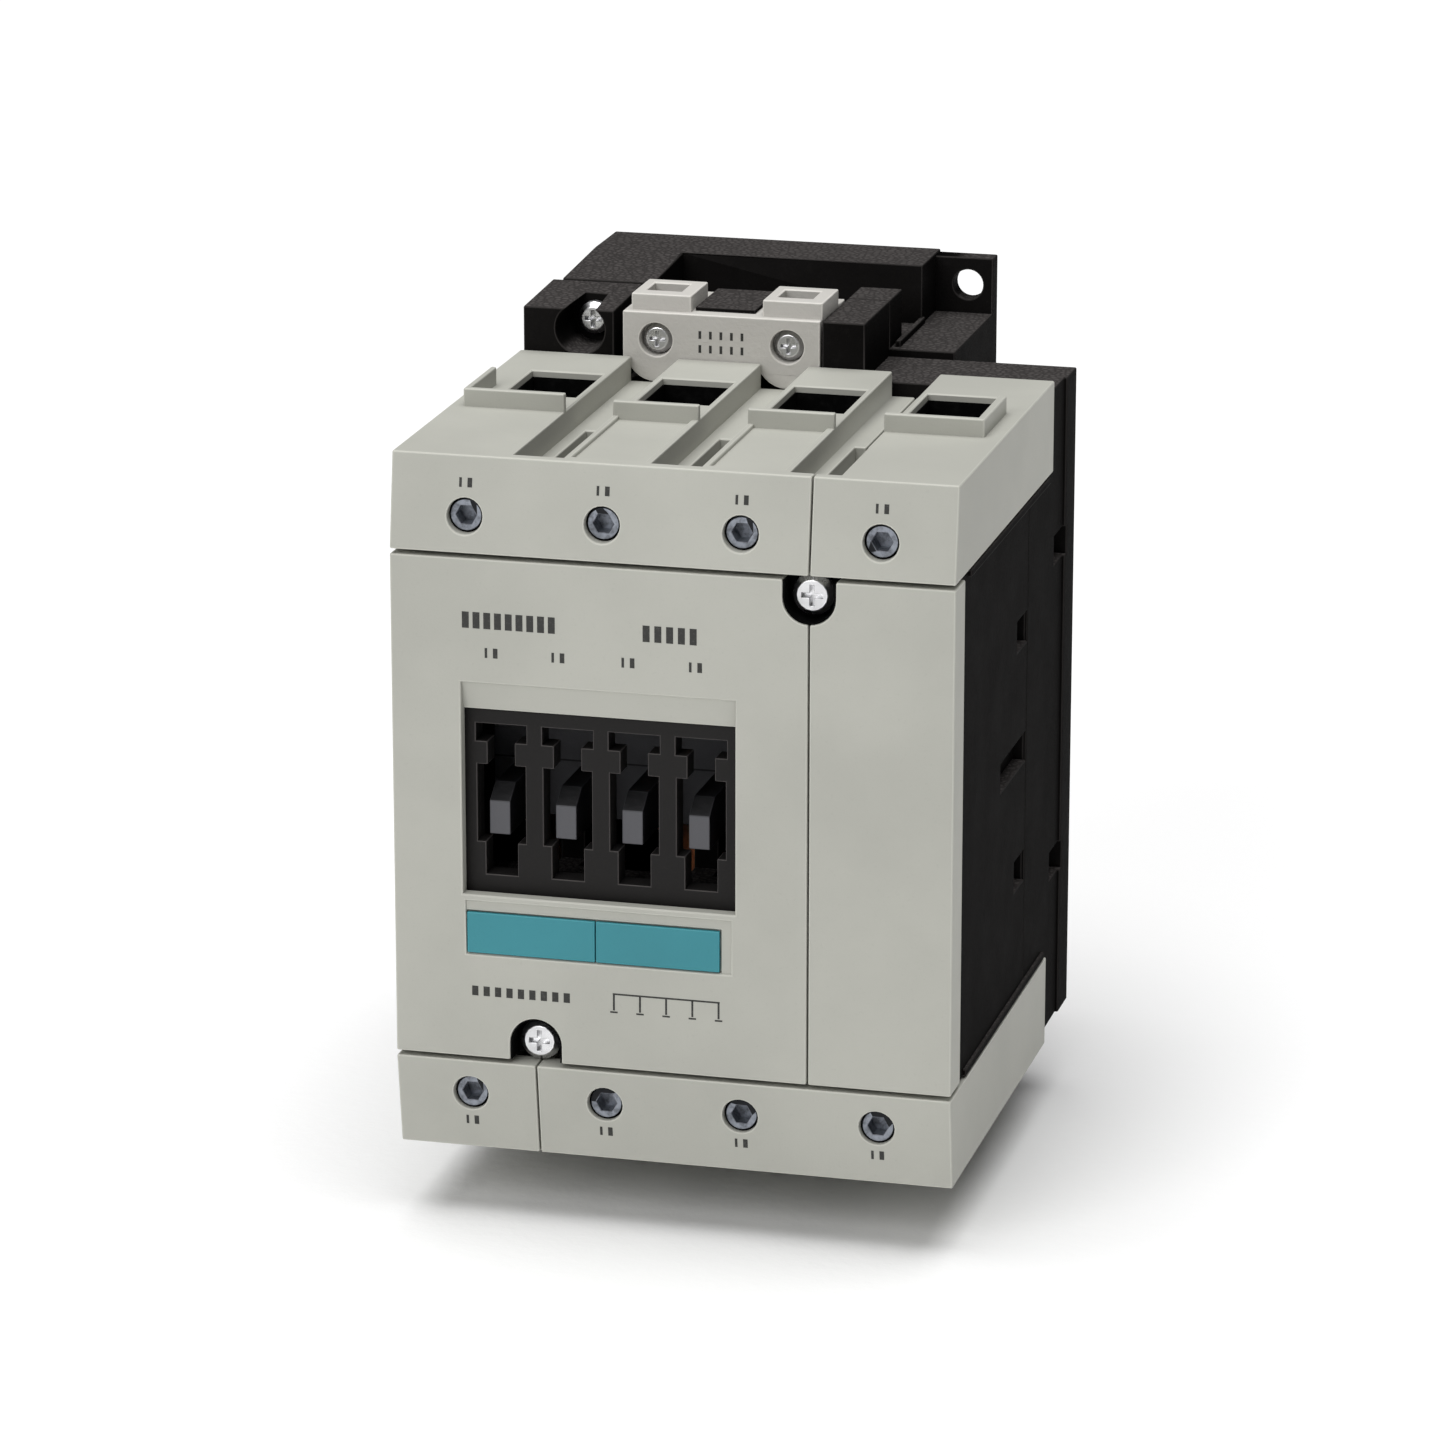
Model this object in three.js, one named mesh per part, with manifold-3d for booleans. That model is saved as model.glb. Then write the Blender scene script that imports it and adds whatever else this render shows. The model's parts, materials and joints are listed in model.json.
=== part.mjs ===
// A four-pole power contactor: rear magnet housing, contact housing, covers, terminals and mechanism.
// Millimetres. +Z is up, the front faces -Y, and the origin is the middle of the rear mounting plane.
import * as THREE from "three";
import { mergeVertices } from "three/addons/utils/BufferGeometryUtils.js";
import Module from "manifold-3d";

// Overall sizes
const WIDTH = 96;
const DEPTH = 134;
const FRONT_HEIGHT = 121;
const BASE_WIDTH = 74;
const BASE_HEIGHT = 141;

// Depths are measured back from the front face.
const HOUSING_FRONT = 7.7;
const HOUSING_BACK = 98;
const BASE_FRONT = HOUSING_BACK + 0.3;
const STEP_DEPTH = 78.5;
const GAP = 0.3;

// Poles
const POLES = 4;
const PITCH = 23.5;
const HEAD_X = (WIDTH - BASE_WIDTH) / 2;
const POLE_X = Array.from({ length: POLES }, (_, i) => (i - (POLES - 1) / 2) * PITCH);
const CHANNEL_X = [-PITCH, 0, PITCH];
const SEAM_X = PITCH;
const POLE_SIDES = [-1, 1];

// Covers
const TERMINAL_COVER_HEIGHT = 16.2;
const COVER_GAP = 0.8;
const PANEL_HALF = FRONT_HEIGHT / 2 - TERMINAL_COVER_HEIGHT - COVER_GAP;
const COVER_FOOT = PANEL_HALF + COVER_GAP;
const COVER_TOP = FRONT_HEIGHT / 2;
const COVER_TILT = 2.3;
const COVER_WALL = 2;
const COVER_CEILING = 54.9;
const PANEL_DEPTH = 7.4;
const PANEL_SKIN = 2.5;
const SEAM_HALF = 0.15;
const NOTCH = { half: 4.5, depth: 7.5, floor: 4.9, boss: 7 };
const NOTCH_Z = PANEL_HALF - NOTCH.depth + NOTCH.half;
const LABEL = { left: -35.3, middle: -13, right: 8.4, end: 10.4, high: -17.9, low: -25, strip: -15.9 };

// Screws: pan heads with a cross recess, and the hexagon-socket screws of the main terminals
const COVER_SCREW = { headRadius: 3.6, headHeight: 2.4, shankRadius: 2, length: 20, front: 2.2 };
const HOUSING_SCREW = { headRadius: 2.95, headHeight: 2.4, shankRadius: 1.7, length: 30, front: 87.4 };
const COIL_SCREW = { headRadius: 2.75, headHeight: 2, shankRadius: 1.7, length: 14.4, front: 79.7 };
const SCREW_PLAY = 0.3;
const TERMINAL_SCREW = {
  headRadius: 2.75,
  headLength: 6,
  shankRadius: 2.5,
  front: 2,
  end: 45.6,
  socket: 1.75,
};
const CLAMP = {
  half: 8.3,
  side: 1.5,
  near: 41.6,
  frontWall: 4.6,
  far: 65.6,
  rearWall: 2,
  low: 45.4,
  high: 54.5,
};
const BAR = { half: 5, near: 46.6, thick: 2.4, top: 54, bend: 28, low: 11, tipHalf: 3.5, tip: 1.2 };

// Conductor openings, collars and channels of a terminal cover
const OPENING = { half: 6.4, near: 46, far: 64 };
const COLLAR = { half: 8.4, near: 35.2, thick: 1.4, height: 3.1, back: 53 };
const CHANNEL = { half: 4.25, near: 4.6, depth: 4.4, slotEnd: 41, slotDepth: 6 };
const SCREW_Z = 50.4;
const SCREW_HOLE_R = 3.05;

// Window with the auxiliary switch couplings
const WINDOW = { left: -36, right: 11.1, top: 22.2, lip: 17.2, bottom: -14.8 };
const KEYHOLES = 4;
const KEYHOLE_PITCH = 11.5;
const KEYHOLE_MIDDLE = -12.7;
const KEYHOLE_X = Array.from({ length: KEYHOLES }, (_, i) =>
  KEYHOLE_MIDDLE + (i - (KEYHOLES - 1) / 2) * KEYHOLE_PITCH);
const KEYHOLE_STEPS = [
  { half: 4.4, from: 11.3, to: 14.4 },
  { half: 2.35, from: 7.3, to: 11.3 },
  { half: 4.2, from: -6.2, to: 7.3 },
  { half: 2.75, from: -11.9, to: -6.2 },
];

// Mechanism
const STROKE = 6;
const ARMATURE = { near: 76.8, thick: 7, halfX: 28, halfZ: 14 };
const RIVET_HEAD = 0.8;
const YOKE_FACE = ARMATURE.near + ARMATURE.thick + STROKE + GAP;
const CAVITY_BACK = 123;
const PASSAGE_HALF = 9.4;
const CHAMBER_HALF = 9.6;
const COIL = { near: 90.9, far: 114.9, flange: 1.5, wall: 1.2, core: 7.4, coreHalfZ: 14.4 };
const YOKE = { halfX: 28, halfZ: 14, legWidth: 7, back: 115.4, end: 122.6 };
const BRIDGE = { near: 50, thick: 2.5, tip: 1.2, halfX: 5, halfZ: 17 };
const TIP_FACE = BRIDGE.near + BRIDGE.thick + BRIDGE.tip + STROKE + GAP;
const STEM_X = [-PITCH, 0];

// Contact housing behind the covers
const STEP = COVER_FOOT - 0.4;
const REAR_HALF = COVER_TOP - 2;
const SIDE_SEAM = 60.4;
const POCKET_DEPTH = 2.8;
const SIDE_POCKETS = [
  { depth: 50, z: 0, length: 20.8, height: 5.2 },
  { depth: 56.2, z: 21.5, length: 8.4, height: 5.5 },
  { depth: 56.2, z: -21.5, length: 8.4, height: 5.5 },
  { depth: 87, z: 29, length: 8.8, height: 5.2 },
  { depth: 87, z: -29, length: 8.8, height: 5.2 },
];

// Fixing lugs, rail groove and the latch that slides in it
const LUG = { near: 130, width: 10.6, holeX: 32.4, holeZ: 65, holeR: 2.75, low: 59.8 };
const RAIL = { half: 17.8, lip: 2, seat: 125, slot: 2 };
const LATCH = { half: 7, near: 128.1, far: 133.5, tab: 2.5, springTop: -34, springSeat: -49 };

// Top of the rear housing and the coil terminal block, as distances from the left side
const EAR = { left: 0.5, right: 17, height: 7.8, boreX: 10.8, boreZ: 64.7, boreR: 4.5 };
const COIL_BLOCK = { left: 18.6, right: 54.3, low: 58.6, high: 68.5, back: 97.6 };
const COIL_SIDE = { left: 54.6, right: 62.2, high: 68.5 };
const COIL_SCREW_X = [24.6, 48.3];
const COIL_SCREW_Z = 63.6;

const wasm = await Module();
wasm.setup();

// ---- solids from three.js geometry -------------------------------------------------------------

function solid(geometry) {
  const plain = geometry.index ? geometry.toNonIndexed() : geometry.clone();
  plain.deleteAttribute("normal");
  plain.deleteAttribute("uv");
  const merged = mergeVertices(plain, 1e-4);
  const mesh = new wasm.Mesh({
    numProp: 3,
    vertProperties: merged.attributes.position.array,
    triVerts: new Uint32Array(merged.index.array),
  });
  return new wasm.Manifold(mesh);
}

function geometryOf(made) {
  const mesh = made.getMesh();
  const geometry = new THREE.BufferGeometry();
  geometry.setAttribute("position", new THREE.BufferAttribute(mesh.vertProperties, 3));
  geometry.setIndex(new THREE.BufferAttribute(mesh.triVerts, 1));
  return geometry;
}

function joined(first, ...rest) {
  return rest.flat().reduce((whole, piece) => whole.add(piece), first);
}

function cut(first, ...rest) {
  return rest.flat().reduce((whole, piece) => whole.subtract(piece), first);
}

// A box from its two limits along each axis, which may be given in either order.
function block(x0, x1, y0, y1, z0, z1) {
  const geometry = new THREE.BoxGeometry(...[x1 - x0, y1 - y0, z1 - z0].map(Math.abs));
  geometry.translate((x0 + x1) / 2, (y0 + y1) / 2, (z0 + z1) / 2);
  return solid(geometry);
}

// A round bar along Y.
function rod(x, z, radius, y0, y1, sides = 24) {
  const geometry = new THREE.CylinderGeometry(radius, radius, y1 - y0, sides);
  geometry.translate(x, (y0 + y1) / 2, z);
  return solid(geometry);
}

// An outline of [depth, height] points drawn along X.
function alongX(points, x0, x1) {
  const shape = new THREE.Shape(points.map(([y, z]) => new THREE.Vector2(y, z)));
  const geometry = new THREE.ExtrudeGeometry(shape, { depth: x1 - x0, bevelEnabled: false });
  const turn = new THREE.Matrix4().set(0, 0, 1, x0, 1, 0, 0, 0, 0, 1, 0, 0, 0, 0, 0, 1);
  geometry.applyMatrix4(turn);
  return solid(geometry);
}

// A shape in the X-Z plane drawn along Y.
function alongY(shape, y0, y1) {
  const settings = { depth: y1 - y0, bevelEnabled: false, curveSegments: 6 };
  const geometry = new THREE.ExtrudeGeometry(shape, settings);
  geometry.rotateX(Math.PI / 2);
  geometry.translate(0, y1, 0);
  return solid(geometry);
}

function roundedRectangle(halfX, halfZ, radius) {
  const shape = new THREE.Shape();
  const x = halfX - radius;
  const z = halfZ - radius;
  shape.absarc(x, -z, radius, -Math.PI / 2, 0);
  shape.absarc(x, z, radius, 0, Math.PI / 2);
  shape.absarc(-x, z, radius, Math.PI / 2, Math.PI);
  shape.absarc(-x, -z, radius, Math.PI, 1.5 * Math.PI);
  return shape;
}

class Helix extends THREE.Curve {
  constructor(radius, length, turns) {
    super();
    this.radius = radius;
    this.length = length;
    this.turns = turns;
  }
  getPoint(t, target = new THREE.Vector3()) {
    const angle = 2 * Math.PI * this.turns * t;
    return target.set(this.radius * Math.cos(angle), this.length * t, this.radius * Math.sin(angle));
  }
}

// A compression spring along +Y from y = 0; the wire's middle runs on the given radius.
function springGeometry(radius, wire, length, turns) {
  const section = new THREE.Shape().absarc(0, 0, wire / 2, 0, 2 * Math.PI);
  const geometry = new THREE.ExtrudeGeometry(section, {
    steps: Math.round(turns * 9),
    curveSegments: 3,
    bevelEnabled: false,
    extrudePath: new Helix(radius, length - wire, turns),
  });
  geometry.translate(0, wire / 2, 0);
  return geometry;
}

// ---- materials ---------------------------------------------------------------------------------

const finish = (color, roughness, metalness) => () =>
  new THREE.MeshStandardMaterial({ color, roughness, metalness });
const greyPlastic = finish("#b9bab1", 0.55, 0);
const lightPlastic = finish("#c4c1ba", 0.6, 0);
const blackPlastic = finish("#1d1b1b", 0.6, 0);
const turquoise = finish("#459fa6", 0.5, 0);
const zincSteel = finish("#a9acb0", 0.35, 1);
const darkSteel = finish("#4b4e54", 0.3, 1);
const copper = finish("#b5714a", 0.4, 1);
const lamination = finish("#6b6c70", 0.5, 1);
const springSteel = finish("#8c9096", 0.35, 1);

const model = new THREE.Group();
const head = new THREE.Group();
const base = new THREE.Group();
head.position.set(HEAD_X, -DEPTH, 0);
base.position.set(0, -DEPTH, 0);
model.add(head, base);

function piece(parent, name, shape, material) {
  const mesh = new THREE.Mesh(shape.isBufferGeometry ? shape : geometryOf(shape), material());
  mesh.name = name;
  parent.add(mesh);
  return mesh;
}

// ---- terminal covers ---------------------------------------------------------------------------

// The finger guard round one conductor opening: a front wall, and a side wall on the outer poles.
function collar(index) {
  const x = POLE_X[index];
  const back = COLLAR.near + COLLAR.thick;
  const low = COVER_TOP - 1;
  const first = index === 0;
  const last = index === POLES - 1;
  const high = COVER_TOP + COLLAR.height - (first || last ? 0 : 0.6);
  const left = x - COLLAR.half + (last ? 0.9 : 0) - (first ? 1.9 : 0);
  const right = last ? x + COLLAR.half + 1.3 : x + COLLAR.half - 0.9;
  const walls = [block(left, right, COLLAR.near, back, low, high)];
  if (first) walls.push(block(left, left + 1, back - 0.5, COLLAR.back - 1, low, high));
  if (last) walls.push(block(right - COLLAR.thick, right, back - 0.5, COLLAR.back, low, high));
  return walls;
}

function terminalCoverBody() {
  const half = WIDTH / 2;
  const outline = [
    [0, COVER_FOOT],
    [STEP_DEPTH, COVER_FOOT],
    [STEP_DEPTH, COVER_TOP],
    [COVER_TILT, COVER_TOP],
  ];
  let body = alongX(outline, -half, half);
  body = joined(body, POLE_X.map((_, i) => collar(i)).flat());
  const floor = COVER_TOP - CHANNEL.depth;
  const channels = CHANNEL_X.map((x) =>
    block(x - CHANNEL.half, x + CHANNEL.half, CHANNEL.near, STEP_DEPTH + 1, floor, COVER_TOP + 5));
  const slots = CHANNEL_X.map((x) =>
    block(x - 2, x + 3.8, CHANNEL.near, CHANNEL.slotEnd, floor - CHANNEL.slotDepth, floor + 1));
  const rooms = POLE_X.map((x) => {
    const sides = [x - CHAMBER_HALF, x + CHAMBER_HALF];
    return block(...sides, 5, STEP_DEPTH - COVER_WALL, COVER_FOOT - 1, COVER_CEILING);
  });
  const openings = POLE_X.map((x) =>
    block(x - OPENING.half, x + OPENING.half, OPENING.near, OPENING.far, COVER_CEILING - 1, COVER_TOP + 9));
  const tunnels = POLE_X.map((x) => rod(x, SCREW_Z, SCREW_HOLE_R, -1, 6));
  const dished = [1, 2].map((i) =>
    block(POLE_X[i] - 6.4, POLE_X[i] + 6.2, CHANNEL.near + 1, COLLAR.near, COVER_TOP - 0.7, COVER_TOP + 1));
  return cut(body, channels, slots, rooms, openings, tunnels, dished);
}

function terminalCovers(half, label) {
  const body = terminalCoverBody();
  const room = [-10, STEP_DEPTH + 10, 0, 100];
  const main = body.intersect(block(-WIDTH, SEAM_X - SEAM_HALF, ...room));
  const side = body.intersect(block(SEAM_X + SEAM_HALF, WIDTH, ...room));
  piece(half, label + "_terminal_cover_main", main, greyPlastic);
  piece(half, label + "_terminal_cover_side", side, greyPlastic);
}

// ---- main terminals ----------------------------------------------------------------------------

function hexagon(radius) {
  const corners = Array.from({ length: 6 }, (_, i) =>
    new THREE.Vector2(radius * Math.cos((i * Math.PI) / 3), radius * Math.sin((i * Math.PI) / 3)));
  return new THREE.Shape(corners);
}

function terminalScrew() {
  const t = TERMINAL_SCREW;
  const neck = t.front + t.headLength;
  const whole = joined(
    rod(0, 0, t.headRadius, t.front, neck),
    rod(0, 0, t.shankRadius, neck - 0.5, t.end, 18),
  );
  return cut(whole, alongY(hexagon(t.socket), t.front - 1, t.front + t.headLength / 2));
}

// A square steel cage: the screw runs through its front wall and draws its rear wall forward.
function terminalClamp() {
  const c = CLAMP;
  const low = c.low - SCREW_Z;
  const high = c.high - SCREW_Z;
  const inner = c.half - c.side;
  const whole = block(-c.half, c.half, c.near, c.far, low, high);
  const inside = block(-inner, inner, c.near + c.frontWall, c.far - c.rearWall, low - 1, high + 1);
  const bore = rod(0, 0, TERMINAL_SCREW.shankRadius + SCREW_PLAY, c.near - 1, c.near + c.frontWall + 1, 18);
  return cut(whole, inside, bore);
}

// The terminal bar runs down into the housing, turns back and ends in the fixed contact tip.
function fixedContact() {
  const b = BAR;
  const leg = TIP_FACE + b.tip;
  const outline = [
    [b.near, b.top],
    [b.near, b.bend],
    [leg, b.bend],
    [leg, b.low],
    [leg + b.thick, b.low],
    [leg + b.thick, b.bend + b.thick],
    [b.near + b.thick, b.bend + b.thick],
    [b.near + b.thick, b.top],
  ];
  const tip = block(-b.tipHalf, b.tipHalf, TIP_FACE, leg + 0.2, b.low + 0.5, b.low + 5.5);
  return joined(alongX(outline, -b.half, b.half), tip);
}

function terminals(half, firstNumber) {
  POLE_X.forEach((x, i) => {
    const number = firstNumber + i;
    const at = new THREE.Group();
    at.position.set(x, 0, SCREW_Z);
    half.add(at);
    piece(at, "terminal_screw_" + number, terminalScrew(), darkSteel);
    piece(at, "terminal_clamp_" + number, terminalClamp(), zincSteel);
    const bar = piece(half, "fixed_contact_" + number, fixedContact(), copper);
    bar.position.x = x;
  });
}

function terminalHalf(label, firstNumber, turned) {
  const half = new THREE.Group();
  if (turned) half.rotation.y = Math.PI;
  terminalCovers(half, label);
  terminals(half, firstNumber);
  head.add(half);
}

// ---- front cover -------------------------------------------------------------------------------

// One U-shaped notch for a cover screw, open to the panel's upper edge.
function coverNotch() {
  return joined(
    rod(SEAM_X, NOTCH_Z, NOTCH.half, -1, NOTCH.floor, 32),
    block(SEAM_X - NOTCH.half, SEAM_X + NOTCH.half, -1, NOTCH.floor, NOTCH_Z, PANEL_HALF + 1),
    rod(SEAM_X, NOTCH_Z, COVER_SCREW.shankRadius + SCREW_PLAY, -1, PANEL_DEPTH + 1, 18),
  );
}

const turnedHalf = (made) => made.rotate([0, 180, 0]);
const toHead = (made) => made.translate([-HEAD_X, 0, 0]);

function frontCoverBody() {
  const half = WIDTH / 2;
  const wall = COVER_WALL;
  let body = block(-half, half, 0, PANEL_DEPTH, -PANEL_HALF, PANEL_HALF);
  const reach = NOTCH.boss;
  const boss = block(SEAM_X - reach, SEAM_X + reach, 0, PANEL_DEPTH, NOTCH_Z - reach, PANEL_HALF);
  const rooms = [
    block(-half + wall, SEAM_X - wall, PANEL_SKIN, 10, -PANEL_HALF + wall, PANEL_HALF - wall),
    block(SEAM_X + wall, half - wall, PANEL_SKIN, 10, -PANEL_HALF + wall, PANEL_HALF - wall),
  ];
  body = cut(body, rooms.map((room) => cut(room, boss, turnedHalf(boss))));
  const window = block(WINDOW.left, WINDOW.right, -1, 10, WINDOW.bottom, WINDOW.lip);
  const lip = alongX(
    [[-1, WINDOW.lip - 0.1], [1.9, WINDOW.lip - 0.1], [0.7, WINDOW.top], [-1, WINDOW.top]],
    WINDOW.left,
    WINDOW.right,
  );
  return cut(body, window, lip, labelPocket(), coverNotch(), turnedHalf(coverNotch()));
}

function labelPocket() {
  return joined(
    block(LABEL.left - 0.2, LABEL.end, -1, 0.4, LABEL.low - 0.3, LABEL.strip),
    block(LABEL.left - 0.2, LABEL.right + 0.2, -1, 1.2, LABEL.low - 0.2, LABEL.high + 0.2),
  );
}

function frontCover() {
  const body = frontCoverBody();
  const room = [-10, 20, -100, 100];
  const main = body.intersect(block(-WIDTH, SEAM_X - SEAM_HALF, ...room));
  const side = body.intersect(block(SEAM_X + SEAM_HALF, WIDTH, ...room));
  piece(head, "front_cover_main", main, greyPlastic);
  piece(head, "front_cover_side", side, greyPlastic);
}

function labelPlates() {
  const plate = (x0, x1) => block(x0, x1, 0, 0.9, LABEL.low, LABEL.high);
  piece(head, "label_plate_left", plate(LABEL.left, LABEL.middle - 0.1), turquoise);
  piece(head, "label_plate_right", plate(LABEL.middle + 0.1, LABEL.right), turquoise);
}

function windowPlate() {
  const plate = block(WINDOW.left - 0.6, WINDOW.right + 0.6, 3, 7.3, WINDOW.bottom - 0.6, WINDOW.lip + 0.5);
  const holes = KEYHOLE_X.map((x) =>
    KEYHOLE_STEPS.map((s) => block(x - s.half, x + s.half, 2, 9, s.from, s.to + 0.01)));
  piece(head, "window_plate", cut(plate, holes.flat()), blackPlastic);
}

// ---- screws with cross recesses ----------------------------------------------------------------

// A pan-head screw along +Y with its head's front at y = 0.
function panScrew({ headRadius, headHeight, shankRadius, length }) {
  const profile = [
    new THREE.Vector2(0, 0),
    new THREE.Vector2(headRadius * 0.72, 0),
    new THREE.Vector2(headRadius, headHeight * 0.45),
    new THREE.Vector2(headRadius, headHeight),
    new THREE.Vector2(shankRadius, headHeight),
    new THREE.Vector2(shankRadius, length - shankRadius * 0.5),
    new THREE.Vector2(shankRadius * 0.5, length),
    new THREE.Vector2(0, length),
  ];
  const whole = solid(new THREE.LatheGeometry(profile, 16));
  const arm = headRadius * 0.5;
  const slot = headRadius * 0.11;
  const depth = headHeight * 0.6;
  return cut(whole, block(-arm, arm, -1, depth, -slot, slot), block(-slot, slot, -1, depth, -arm, arm));
}

// A pan-head screw in its place, and its twin half a turn round the Y axis.
function screwPair(parent, name, screw, x, z) {
  const upper = piece(parent, name + "_upper", panScrew(screw), zincSteel);
  upper.position.set(x, screw.front, z);
  const lower = piece(parent, name + "_lower", panScrew(screw), zincSteel);
  lower.position.set(-x, screw.front, -z);
}

// ---- contact housing ---------------------------------------------------------------------------

function sidePockets(side) {
  const outer = side * (WIDTH / 2 + 1);
  const inner = side * (WIDTH / 2 - POCKET_DEPTH);
  return SIDE_POCKETS.map((p) => {
    const along = [p.depth - p.length / 2, p.depth + p.length / 2];
    return block(outer, inner, ...along, p.z - p.height / 2, p.z + p.height / 2);
  });
}

// The ear that carries a housing screw, in the frame of the rear housing.
function ear() {
  const left = EAR.left - BASE_WIDTH / 2;
  const right = EAR.right - BASE_WIDTH / 2;
  const x = EAR.boreX - BASE_WIDTH / 2;
  const near = STEP_DEPTH + GAP;
  const top = COVER_TOP + EAR.height;
  const outline = [
    [near, REAR_HALF - 1],
    [HOUSING_BACK, REAR_HALF - 1],
    [HOUSING_BACK, top + 0.8],
    [near, top],
  ];
  return cut(
    alongX(outline, left, right),
    rod(x, EAR.boreZ, EAR.boreR, near - 1, HOUSING_SCREW.front + 2.8, 32),
    rod(x, EAR.boreZ, HOUSING_SCREW.shankRadius + SCREW_PLAY, near, HOUSING_BACK + 1, 18),
  );
}

// The solid parts of the contact housing, before it is hollowed.
function contactHousingBody() {
  const half = WIDTH / 2 - 0.5;
  const near = STEP_DEPTH + GAP;
  const outline = [
    [HOUSING_FRONT, -STEP],
    [near, -STEP],
    [near, -REAR_HALF],
    [HOUSING_BACK, -REAR_HALF],
    [HOUSING_BACK, REAR_HALF],
    [near, REAR_HALF],
    [near, STEP],
    [HOUSING_FRONT, STEP],
  ];
  const flange = block(-WIDTH / 2, WIDTH / 2, 90, HOUSING_BACK, -REAR_HALF, REAR_HALF);
  const edge = WIDTH / 2 + 0.1;
  const ledges = [-1, 1].map((s) => block(-edge, edge, 12, STEP_DEPTH - 2, s * (STEP - 1.2), s * STEP));
  const sides = [COIL_SIDE.left - BASE_WIDTH / 2, COIL_SIDE.right - BASE_WIDTH / 2];
  const besideCoil = block(...sides, near, HOUSING_BACK, 55, COIL_SIDE.high);
  const ears = [ear(), turnedHalf(ear())];
  return joined(alongX(outline, -half, half), flange, ledges, [...ears, besideCoil].map(toHead));
}

// The spaces inside the contact housing, and the recesses in its sides.
function contactHousingHollows() {
  const coilSides = [17.9 - BASE_WIDTH / 2, COIL_SIDE.left - BASE_WIDTH / 2];
  const coilNotch = toHead(block(...coilSides, STEP_DEPTH - 1, HOUSING_BACK + 1, 55.2, 75));
  const magnetRoom = toHead(block(-31, 31, 70, HOUSING_BACK + 1, -36, 36));
  const chambers = POLE_X.map((x) => block(x - CHAMBER_HALF, x + CHAMBER_HALF, 20, 66, -40, 40));
  const slotHalf = BAR.half + 0.4;
  const barSlots = POLE_X.flatMap((x) =>
    POLE_SIDES.map((s) => block(x - slotHalf, x + slotHalf, BAR.near - 0.4, 49.4, s * 39, s * 46)));
  const passage = block(-44.8, 44.8, 24, 64, -PASSAGE_HALF, PASSAGE_HALF);
  const stemWay = block(-28, 4.6, 63, 72, -PASSAGE_HALF, PASSAGE_HALF);
  const front = block(WINDOW.left, WINDOW.right, 5, 24, WINDOW.bottom, WINDOW.lip);
  const bore = COVER_SCREW.shankRadius + SCREW_PLAY;
  const screwHoles = POLE_SIDES.map((s) => rod(s * SEAM_X, s * NOTCH_Z, bore, 5, 24, 18));
  const seams = POLE_SIDES.map((s) =>
    block(s * 47.1, s * 49, SIDE_SEAM, SIDE_SEAM + 0.4, 1.3 - STEP, STEP - 1.3));
  const rooms = [chambers, barSlots, passage, stemWay, magnetRoom, front];
  return [coilNotch, ...rooms.flat(), screwHoles, seams, sidePockets(1), sidePockets(-1)].flat();
}

// ---- moving contacts ---------------------------------------------------------------------------

// The carrier: couplings at the front, a cross bar, one frame for each bridge, and stems to the armature.
function contactCarrier() {
  const bar = block(-43.4, 43.4, 26, 34, -8, 8);
  const couplings = KEYHOLE_X.map((x) =>
    alongX([[4.4, -5.2], [27, -5.2], [27, 3], [8, 3], [4.4, 0.6]], x - 2.5, x + 1.1));
  const frames = POLE_X.map((x) =>
    cut(block(x - 8, x + 8, 33, 55.4, -4, 4), block(x - 5.6, x + 5.6, 34, 52.8, -5, 5)));
  const stems = STEM_X.map((x) => block(x - 2.6, x + 2.6, 33, 72, -8, 8));
  const rear = block(-27, 3.5, 70.6, 76.4, -9, 9);
  const seat = block(-17, -5, 72, 75.5, -2, 26);
  return joined(bar, couplings, frames, stems, rear, seat);
}

function contactBridge() {
  const b = BRIDGE;
  const plate = block(-b.halfX, b.halfX, b.near, b.near + b.thick, -b.halfZ, b.halfZ);
  const tips = POLE_SIDES.map((s) =>
    block(-3.5, 3.5, b.near + b.thick - 0.2, b.near + b.thick + b.tip, s * 14 - 2.5, s * 14 + 2.5));
  return joined(plate, tips);
}

function movingContacts() {
  piece(head, "contact_carrier", contactCarrier(), blackPlastic);
  POLE_X.forEach((x, i) => {
    const bridge = piece(head, "contact_bridge_" + (i + 1), contactBridge(), copper);
    bridge.position.x = x;
    const spring = piece(head, "contact_spring_" + (i + 1), springGeometry(3.4, 1.1, 15.2, 5), springSteel);
    spring.position.set(x, 34.4, 0);
  });
}

// ---- magnet and coil ---------------------------------------------------------------------------

function magnetYoke() {
  const y = YOKE;
  const inner = y.halfX - y.legWidth;
  const across = [[-y.halfX, -inner], [-y.legWidth, y.legWidth], [inner, y.halfX]];
  const back = block(-y.halfX, y.halfX, y.back, y.end, -y.halfZ, y.halfZ);
  const legs = across.map((sides) => block(...sides, YOKE_FACE, y.back + 0.6, -y.halfZ, y.halfZ));
  return joined(back, legs);
}

function armature() {
  const a = ARMATURE;
  const plate = block(-a.halfX, a.halfX, a.near, a.near + a.thick, -a.halfZ, a.halfZ);
  const rivets = [-17, 17].map((x) => rod(x, 0, 2.2, a.near + 2, a.near + a.thick + RIVET_HEAD, 12));
  return joined(plate, rivets);
}

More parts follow.
